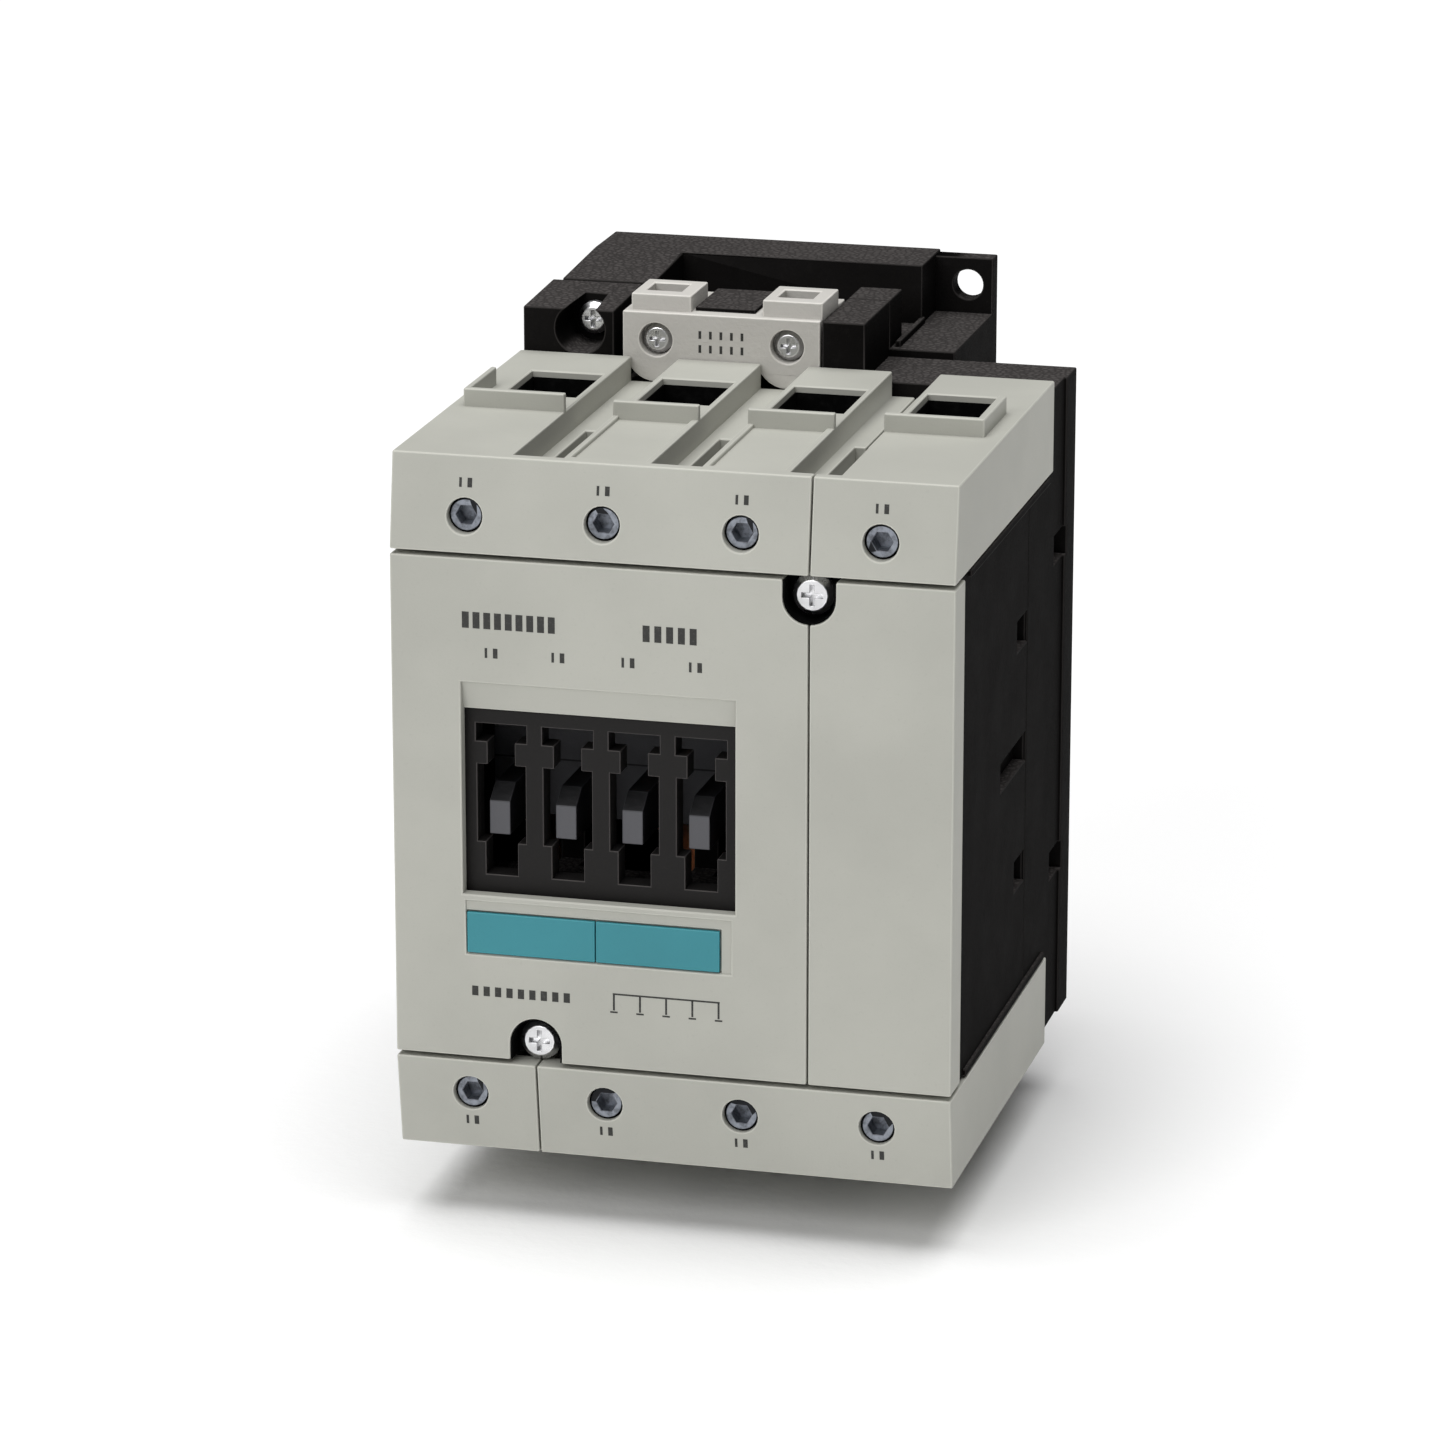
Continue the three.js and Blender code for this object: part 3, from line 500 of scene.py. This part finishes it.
def ejector_marks(node, steps):
    """Shallow round marks that the mould's ejector pins leave on a rear face."""
    low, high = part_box(node)
    across, up = (high.x - low.x) * EJECTOR_SPREAD[0], (high.z - low.z) * EJECTOR_SPREAD[1]
    spots = [(x, z) for x in (-across, 0, across) for z in (up, up * EJECTOR_SECOND_ROW)]
    shape = bmesh.new()
    for x, z in [*spots, (-across, -up), (across, -up)]:
        bmesh.ops.create_cone(
            shape, cap_ends=True, segments=steps, radius1=EJECTOR_RADIUS,
            radius2=EJECTOR_RADIUS * EJECTOR_TAPER, depth=EJECTOR_DEPTH,
            matrix=Matrix.Translation((x, high.y, z)) @ ALONG_Y)
    placed(node + "_ejector_marks", shape, MATERIALS[SLOT_OF[node]], BODY_OF[node])


def middle_of(node):
    low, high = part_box(node)
    return (low + high) / 2


def mark_core(shape, middle, radius):
    """Marks the faces within a radius of an axis along Y, which is the inside of a socket; the socket
    finish paints a glint there.
    """
    core = shape.faces.layers.float.new(CORE)
    for face in shape.faces:
        away = face.calc_center_median() - middle
        if math.hypot(away.x, away.z) < radius:
            face[core] = 1.0


def boxed(shape, low, high):
    """Adds a box between two corners."""
    low, high = Vector(low), Vector(high)
    place = Matrix.Translation((low + high) / 2) @ Matrix.Diagonal((*(high - low), 1))
    bmesh.ops.create_cube(shape, size=1, matrix=place)


@functools.cache
def faces_of(node):
    """A CAD part's faces, kept for the rays that look for them."""
    shape = merged_copy(node)
    tree = BVHTree.FromBMesh(shape)
    shape.free()
    return tree


def on_front(node, x, z):
    """Where a ray from the front meets a part, and how to turn a bar so that it lies there."""
    spot, normal, _, _ = faces_of(node).ray_cast(Vector((x, -1, z)), Vector((0, 1, 0)))
    if spot is None:
        raise ValueError(f"{node} has no front face at {x:.4f}, {z:.4f}")
    across = Vector((1, 0, 0))
    turn = Matrix((across, -normal, across.cross(-normal))).transposed().to_4x4()
    return Matrix.Translation(spot) @ turn


def add_bar(shape, node, x, z, width, height, thick):
    """One thin printed bar on the front of a part; all sizes in millimetres except the thickness."""
    size = Matrix.Diagonal((width * MM, thick, height * MM, 1))
    bmesh.ops.create_cube(shape, size=1, matrix=on_front(node, x * MM, z * MM) @ size)


def u_outline(radius, flip):
    """A U of points round the origin, open towards +Z, or towards -Z when flipped."""
    turns = [math.pi * (1 + i / NOTCH_STEPS) for i in range(NOTCH_STEPS + 1)]
    arc = [(radius * math.cos(a), radius * math.sin(a)) for a in turns]
    points = [(-radius, NOTCH_RISE), *arc, (radius, NOTCH_RISE)]
    return [(x * flip, z * flip) for x, z in points]


def swept_wall(shape, outer, inner, centre, near, far):
    """A wall between two outlines, from one depth to another."""
    rings = [
        [shape.verts.new((centre.x + x, y, centre.z + z)) for x, z in line]
        for line, y in ((outer, near), (outer, far), (inner, far), (inner, near))
    ]
    for first, second in zip(rings, rings[1:] + rings[:1]):
        for i in range(len(outer) - 1):
            shape.faces.new((first[i], first[i + 1], second[i + 1], second[i]))
    for i in (0, -1):
        shape.faces.new([ring[i] for ring in rings])


# ---- sizes a user may change -------------------------------------------------------------------

class ContactorShape(bpy.types.PropertyGroup):
    cover_round: bpy.props.FloatProperty(
        name="Cover Rounding", description="Radius of the grey covers' edges",
        default=0.28 * MM, min=0.1 * MM, max=1 * MM, unit="LENGTH")
    housing_round: bpy.props.FloatProperty(
        name="Housing Rounding", description="Radius of the black housings' edges",
        default=0.25 * MM, min=0.1 * MM, max=1 * MM, unit="LENGTH")
    small_round: bpy.props.FloatProperty(
        name="Small Rounding", description="Radius of the small parts' edges",
        default=0.15 * MM, min=0.05 * MM, max=0.5 * MM, unit="LENGTH")
    ink_thickness: bpy.props.FloatProperty(
        name="Ink Thickness", description="How far a printed mark stands off its face",
        default=0.03 * MM, min=0.01 * MM, max=0.2 * MM, unit="LENGTH")
    ring_steps: bpy.props.IntProperty(
        name="Ring Steps", description="Number of steps round a turned ring", default=40, min=16, max=96)
    lining_wall: bpy.props.FloatProperty(
        name="Lining Wall", description="Wall of the black linings in the openings and notches",
        default=0.2 * MM, min=0.1 * MM, max=0.5 * MM, unit="LENGTH")
    # The bright inside of a socket is a painted glint
    socket_radius: bpy.props.FloatProperty(
        name="Socket Radius", description="Radius of the bright inside of a hexagon socket",
        default=1.7 * MM, min=0.5 * MM, max=3 * MM, unit="LENGTH")


class ContactorColours(bpy.types.PropertyGroup):
    cover: bpy.props.FloatVectorProperty(
        name="Cover Grey", description="Colour of the covers", subtype="COLOR",
        default=(0.405, 0.405, 0.365))
    housing: bpy.props.FloatVectorProperty(
        name="Housing Black", description="Colour of the housings", subtype="COLOR",
        default=(0.0080, 0.0074, 0.0072))
    coil_block: bpy.props.FloatVectorProperty(
        name="Coil Block Grey", description="Colour of the coil terminal block", subtype="COLOR",
        default=(0.50, 0.485, 0.455))
    label: bpy.props.FloatVectorProperty(
        name="Label Turquoise", description="Colour of the label plates", subtype="COLOR",
        default=(0.030, 0.215, 0.255))
    ink: bpy.props.FloatVectorProperty(
        name="Ink", description="Colour of the printed marks", subtype="COLOR",
        default=(0.035, 0.035, 0.033))


class ContactorStage(bpy.types.PropertyGroup):
    bearing: bpy.props.FloatProperty(
        name="Camera Bearing", description="How far to the right of the front the camera stands",
        default=math.radians(14.45), subtype="ANGLE")
    tilt: bpy.props.FloatProperty(
        name="Camera Tilt", description="How steeply the camera looks down",
        default=math.radians(16.34), subtype="ANGLE")
    distance: bpy.props.FloatProperty(
        name="Camera Distance", description="From the camera to its aim", default=1.120, unit="LENGTH")
    lens: bpy.props.FloatProperty(name="Lens", description="Focal length in millimetres", default=159.6)
    aim_offset: bpy.props.FloatVectorProperty(
        name="Aim", description="From the middle of the object to the camera's aim",
        default=(-8.1 * MM, -2.4 * MM, 0.1 * MM), subtype="TRANSLATION")
    floor: bpy.props.FloatVectorProperty(
        name="Floor", description="Colour of the floor", subtype="COLOR", default=(0.90, 0.90, 0.90))


def settings():
    scene = bpy.context.scene
    return scene.contactor_shape, scene.contactor_colours, scene.contactor_stage


MATERIALS = {}


# ---- operators ---------------------------------------------------------------------------------

class BuildOperator:
    """What the building operators share."""
    bl_options = {"REGISTER", "UNDO"}


class CONTACTOR_OT_finishes(BuildOperator, bpy.types.Operator):
    """Make the finishes and dress every CAD part in its own"""
    bl_idname = "contactor.finishes"
    bl_label = "Finishes"

    def execute(self, context):
        _, colours, _ = settings()
        MATERIALS.update({
            "grey_cover_plastic": moulded_plastic("cover grey", tuple(colours.cover), 0.50, shine=0.25),
            "black_housing_plastic": housing_plastic("housing black", tuple(colours.housing), 0.46),
            # Plate black: its rounded edges painted much paler, partly edge wear, partly painted
            # highlight
            "black_plate_plastic": moulded_plastic(
                "plate black", shade(tuple(colours.housing), 1.4), 0.42, edge_wear_and_painted_highlight_gain=7.0, shine=0.15),
            # Lining black: also the black rings of painted shade in the terminal screw holes
            "lining": dark_passage("lining black", (0.004, 0.004, 0.004)),
            "ink": printed_ink("printed ink", tuple(colours.ink)),
            # Terminal screw heads painted near black as painted shade deep in their holes, with a painted
            # glint in the sockets
            "socket": socket_steel("socket steel", (0.014, 0.015, 0.017)),
            # Clamp steel given a darker colour than zinc plating, as painted shade inside the conductor
            # openings
            "clamp": plated_steel("clamp steel", (0.16, 0.16, 0.165), 0.35),
            "carrier_plastic": banded_plastic("coupling grey", (0.011, 0.011, 0.012), *BAND),
            "label_turquoise": moulded_plastic("label turquoise", tuple(colours.label), 0.42),
            "light_block_plastic": moulded_plastic(
                "coil block grey", tuple(colours.coil_block), 0.58,
                grain=1100.0, depth=0.00012, edge_wear_and_painted_highlight_gain=1.4),
            "winding_copper": wound_wire("winding copper", (0.60, 0.28, 0.14)),
            # Contact copper given a darker colour than bare copper, as painted shade inside the terminals
            "contact_copper": plated_steel("contact copper", (0.66, 0.38, 0.24), 0.28, (1.0, 1.0, 0.08)),
            "magnet_steel": stacked_sheet("magnet steel", (0.24, 0.24, 0.25)),
            "zinc_steel": plated_steel("zinc plating", (0.66, 0.66, 0.67), 0.20, (0.3, 1.0, 1.0)),
            "dark_screw_steel": plated_steel("dark screw steel", (0.27, 0.28, 0.30), 0.24),
            "spring_steel": plated_steel("spring steel", (0.46, 0.47, 0.49), 0.25, tarnish=0.2),
        })
        for node, slot in SLOT_OF.items():
            materials = frame["nodes"][node].data.materials
            materials.clear()
            materials.append(MATERIALS["clamp" if node.startswith("terminal_clamp") else slot])
        return {"FINISHED"}


class CONTACTOR_OT_covers(BuildOperator, bpy.types.Operator):
    """Round the edges of the grey covers"""
    bl_idname = "contactor.covers"
    bl_label = "Covers"

    def execute(self, context):
        sizes, _, _ = settings()
        ends = [f"{end}_terminal_cover_{half}" for end in ("upper", "lower") for half in ("main", "side")]
        for node in ("front_cover_main", "front_cover_side", *ends):
            rounded_part(node, sizes.cover_round, MATERIALS[SLOT_OF[node]])
        return {"FINISHED"}


class CONTACTOR_OT_housings(BuildOperator, bpy.types.Operator):
    """Round the edges of the black housings, the coil block and the window plate"""
    bl_idname = "contactor.housings"
    bl_label = "Housings"

    def execute(self, context):
        sizes, _, _ = settings()
        large = ("rear_housing", "contact_housing", "coil_terminal_block")
        small = ("window_plate", "contact_carrier", "label_plate_left", "label_plate_right", "rail_latch")
        for nodes, width in ((large, sizes.housing_round), (small, sizes.small_round)):
            for node in nodes:
                rounded_part(node, width, MATERIALS[SLOT_OF[node]])
        ejector_marks("rear_housing", sizes.ring_steps)
        return {"FINISHED"}


class CONTACTOR_OT_screws(BuildOperator, bpy.types.Operator):
    """Round the screws, and mark the insides of the hexagon sockets, which get a painted glint"""
    bl_idname = "contactor.screws"
    bl_label = "Screws"

    def execute(self, context):
        sizes, _, _ = settings()
        for node in SCREWS:
            rounded_part(node, sizes.small_round, MATERIALS["zinc_steel"])
        for number in TERMINALS:
            node = f"terminal_screw_{number}"
            shape = merged_copy(node)
            round_edges(shape, sizes.small_round)
            mark_core(shape, middle_of(node), sizes.socket_radius)
            placed(node + "_shell", shape, MATERIALS["socket"], BODY_OF[node], (node,))
        return {"FINISHED"}


class CONTACTOR_OT_springs(BuildOperator, bpy.types.Operator):
    """Make the springs' coils from their CAD shapes, each with a mesh of its own"""
    bl_idname = "contactor.springs"
    bl_label = "Springs"

    def execute(self, context):
        for joint in frame["record"]["behaviour"]["joints"]:
            for spring in joint.get("deforming_nodes", ()):
                node, letter = spring["node"], spring["mode"][-1]
                made = placed(
                    node + "_coil", merged_copy(node), MATERIALS["spring_steel"],
                    BODY_OF[node], (node,))
                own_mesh(made)
        return {"FINISHED"}


class CONTACTOR_OT_linings(BuildOperator, bpy.types.Operator):
    """Line the conductor openings and the screw notches with black, and put black rings of painted shade
    in the terminal screw holes
    """
    bl_idname = "contactor.linings"
    bl_label = "Linings"

    def funnel(self, number, opening, wall):
        """The four black walls at the mouth of one conductor opening."""
        low, high = (Vector(corner) for corner in opening["box_m"])
        up = 1 if low.z > 0 else -1
        bottom, top = sorted((up * FUNNEL_MOUTH, up * FUNNEL_FOOT))
        x = (low.x + high.x) / 2
        left, right = x - FUNNEL_HALF, x + FUNNEL_HALF
        shape = bmesh.new()
        boxed(shape, (left, FUNNEL_NEAR, bottom), (right, FUNNEL_NEAR + wall, top))
        boxed(shape, (left, FUNNEL_FAR - wall, bottom), (right, FUNNEL_FAR, top))
        for side in (-1, 1):
            near, far = sorted((x + side * FUNNEL_HALF, x + side * (FUNNEL_HALF - wall)))
            boxed(shape, (near, FUNNEL_NEAR + wall, bottom), (far, FUNNEL_FAR - wall, top))
        placed_in_black(f"entry_lining_{number}", shape)

    def throats(self, steps):
        """Black rings round the terminal screws, which sit in round holes of the terminal covers: painted
        shade on the holes' walls.
        """
        for number in TERMINALS:
            screw = f"terminal_screw_{number}"
            middle = middle_of(screw)
            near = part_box(screw)[0].y + THROAT_SETBACK
            shape = bmesh.new()
            for radius in (THROAT_RADIUS, THROAT_RADIUS - THROAT_WALL):
                bmesh.ops.create_circle(
                    shape, segments=steps, radius=radius,
                    matrix=Matrix.Translation((middle.x, near, middle.z)) @ ALONG_Y)
            bmesh.ops.bridge_loops(shape, edges=shape.edges)
            pushed = bmesh.ops.extrude_face_region(shape, geom=shape.faces)
            moved = [v for v in pushed["geom"] if isinstance(v, bmesh.types.BMVert)]
            bmesh.ops.translate(shape, verts=moved, vec=(0, THROAT_LENGTH, 0))
            bmesh.ops.recalc_face_normals(shape, faces=shape.faces)
            placed_in_black(f"screw_throat_{number}", shape)

    def notch(self, label, flip, wall):
        """The black U round one cover screw, and the floor that the screw stands in."""
        centre = middle_of(f"cover_screw_{label}")
        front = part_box("front_cover_main")[0].y
        far = front + NOTCH_FLOOR
        outer = u_outline(NOTCH_RADIUS, flip)
        shape = bmesh.new()
        swept_wall(shape, outer, u_outline(NOTCH_RADIUS - wall, flip), centre, front + NOTCH_SETBACK, far)
        swept_wall(shape, outer, u_outline(NOTCH_HOLE, flip), centre, far, far + NOTCH_FLOOR_THICK)
        bmesh.ops.recalc_face_normals(shape, faces=shape.faces)
        placed_in_black(f"notch_lining_{label}", shape)

    def top_plate(self, round_by):
        """The grained black plate between the coil block's two towers."""
        low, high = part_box("coil_terminal_block")
        middle = (low.x + high.x) / 2
        foot = high.z - PLATE_SINK
        shape = bmesh.new()
        boxed(
            shape,
            (middle - PLATE_HALF, low.y + PLATE_FRONT_GAP, foot),
            (middle + PLATE_HALF, high.y - PLATE_REAR_GAP, foot + PLATE_THICK))
        round_edges(shape, round_by)
        slot = "black_housing_plastic"
        placed("coil_top_plate", shape, MATERIALS[slot], FIXED_BODY)

    def execute(self, context):
        sizes, _, _ = settings()
        self.top_plate(sizes.small_round)
        self.throats(sizes.ring_steps)
        for number, opening in enumerate(LINED_OPENINGS, 1):
            self.funnel(number, opening, sizes.lining_wall)
        self.notch("upper", 1, sizes.lining_wall)
        self.notch("lower", -1, sizes.lining_wall)
        return {"FINISHED"}


class CONTACTOR_OT_marks(BuildOperator, bpy.types.Operator):
    """Print generic bars in place of lettering, and number ticks beside the terminals"""
    bl_idname = "contactor.marks"
    bl_label = "Marks"

    def row(self, shape, node, start, count, pitch, size, thick):
        for i in range(count):
            add_bar(shape, node, start[0] + i * pitch, start[1], *size, thick)

    def pair(self, shape, node, x, z, height, thick):
        for offset, width in PAIR_BARS:
            add_bar(shape, node, x + offset, z, width, height, thick)

    def front(self, thick):
        shape = bmesh.new()
        panel = "front_cover_main"
        for title in TITLE_ROWS:
            self.row(shape, panel, *title, TITLE_BAR, thick)
        for x in PAIR_STARTS:
            self.pair(shape, panel, x, PAIR_LEVEL, PAIR_HEIGHT, thick)
        self.row(shape, panel, *LOWER_ROW, LOWER_BAR, thick)
        left, right, z = DIAGRAM
        add_bar(shape, panel, (left + right) / 2, z + RAIL_RISE, right - left, LINE_HEIGHT, thick)
        for i in range(BRANCHES):
            x = left + BRANCH_INSET + i * (right - left - 2 * BRANCH_INSET) / (BRANCHES - 1)
            add_bar(shape, panel, x, z - BRANCH_DROP, *BRANCH_BAR, thick)
            add_bar(shape, panel, x, z - FOOT_DROP, BRANCH_FOOT, LINE_HEIGHT, thick)
        printed("front_marks", shape)

    def terminals(self, thick):
        shape = bmesh.new()
        for number in TERMINALS:
            spot = middle_of(f"terminal_screw_{number}") / MM
            upper = ("upper", UPPER_TICK_RISE, 1)
            label, rise, turned = upper if spot.z > 0 else ("lower", LOWER_TICK_RISE, -1)
            seam = middle_of(f"cover_screw_{label}").x / MM
            half = "side" if (spot.x - seam) * turned > 0 else "main"
            cover = f"{label}_terminal_cover_{half}"
            self.pair(shape, cover, spot.x - TICK_START, spot.z + rise, TICK_HEIGHT, thick)
        printed("terminal_marks", shape)

    def coil(self, thick):
        shape = bmesh.new()
        for line in COIL_ROWS:
            self.row(shape, "coil_terminal_block", *line, COIL_BAR, thick)
        printed("coil_marks", shape)

    def execute(self, context):
        thick = settings()[0].ink_thickness
        for step in (self.front, self.terminals, self.coil):
            step(thick)
        return {"FINISHED"}


class CONTACTOR_OT_stage(BuildOperator, bpy.types.Operator):
    """Set the floor, the soft lights and the camera"""
    bl_idname = "contactor.stage"
    bl_label = "Studio"

    def floor(self, context, colour):
        under = Matrix.Translation((0, 0, CAD_BOX[0].z))
        shape = bmesh.new()
        bmesh.ops.create_grid(shape, x_segments=1, y_segments=1, size=FLOOR_SIZE, matrix=under)
        mesh = bpy.data.meshes.new("floor")
        shape.to_mesh(mesh)
        shape.free()
        mesh.materials.append(studio_floor("floor", colour))
        floor = bpy.data.objects.new("floor", mesh)
        context.scene.collection.objects.link(floor)

    def lights(self, context):
        """A broad key light, a very soft ceiling and a little light from all round."""
        key = bpy.data.lights.new("key light", "AREA")
        key.shape = "DISK"
        key.size = KEY_SIZE
        key.energy = KEY_POWER
        lamp = bpy.data.objects.new("key light", key)
        lamp.location = CAD_MIDDLE + Vector(KEY_AWAY)
        lamp.rotation_euler = (-Vector(KEY_AWAY)).to_track_quat("-Z", "Y").to_euler()
        context.scene.collection.objects.link(lamp)
        ceiling = bpy.data.lights.new("ceiling light", "SUN")
        ceiling.energy = CEILING_POWER
        ceiling.angle = CEILING_SPREAD
        overhead = bpy.data.objects.new("ceiling light", ceiling)
        context.scene.collection.objects.link(overhead)
        world = bpy.data.worlds.new("studio")
        world.use_nodes = True
        sky = world.node_tree.nodes["Background"]
        sky.inputs["Color"].default_value = (1, 1, 1, 1)
        sky.inputs["Strength"].default_value = SKY_POWER
        context.scene.world = world
        context.scene.view_settings.view_transform = "Standard"

    def camera(self, context, stage):
        camera = bpy.data.cameras.new("camera")
        camera.lens = stage.lens
        camera.sensor_width = SENSOR_WIDTH
        camera.clip_end = CLIP_END
        viewer = bpy.data.objects.new("camera", camera)
        level = math.cos(stage.tilt) * stage.distance
        away = Vector((math.sin(stage.bearing) * level, -math.cos(stage.bearing) * level, 0))
        away.z = math.sin(stage.tilt) * stage.distance
        viewer.location = CAD_MIDDLE + Vector(stage.aim_offset) + away
        viewer.rotation_euler = (-away).to_track_quat("-Z", "Y").to_euler()
        context.scene.collection.objects.link(viewer)
        context.scene.camera = viewer

    def execute(self, context):
        _, _, stage = settings()
        self.floor(context, tuple(stage.floor))
        self.lights(context)
        self.camera(context, stage)
        return {"FINISHED"}


class CONTACTOR_PT_panel(bpy.types.Panel):
    """The building steps and the sizes and colours they read"""
    bl_label = "Contactor"
    bl_idname = "CONTACTOR_PT_panel"
    bl_space_type = "VIEW_3D"
    bl_region_type = "UI"
    bl_category = "Contactor"

    def draw(self, context):
        for group in settings():
            box = self.layout.box()
            for name in group.bl_rna.properties.keys():
                if name not in ("rna_type", "name"):
                    box.prop(group, name)
        for step in STEPS:
            self.layout.operator(step.bl_idname)


STEPS = (
    CONTACTOR_OT_finishes,
    CONTACTOR_OT_covers,
    CONTACTOR_OT_housings,
    CONTACTOR_OT_screws,
    CONTACTOR_OT_springs,
    CONTACTOR_OT_linings,
    CONTACTOR_OT_marks,
    CONTACTOR_OT_stage,
)
GROUPS = {
    "contactor_shape": ContactorShape,
    "contactor_colours": ContactorColours,
    "contactor_stage": ContactorStage,
}


def register():
    for made in (*GROUPS.values(), *STEPS, CONTACTOR_PT_panel):
        bpy.utils.register_class(made)
    for name, group in GROUPS.items():
        setattr(bpy.types.Scene, name, bpy.props.PointerProperty(type=group))


def unregister():
    for name in GROUPS:
        delattr(bpy.types.Scene, name)
    for made in reversed((*GROUPS.values(), *STEPS, CONTACTOR_PT_panel)):
        bpy.utils.unregister_class(made)


def main():
    register()
    for step in STEPS:
        group, name = step.bl_idname.split(".")
        getattr(getattr(bpy.ops, group), name)()


if __name__ == "__main__":
    main()
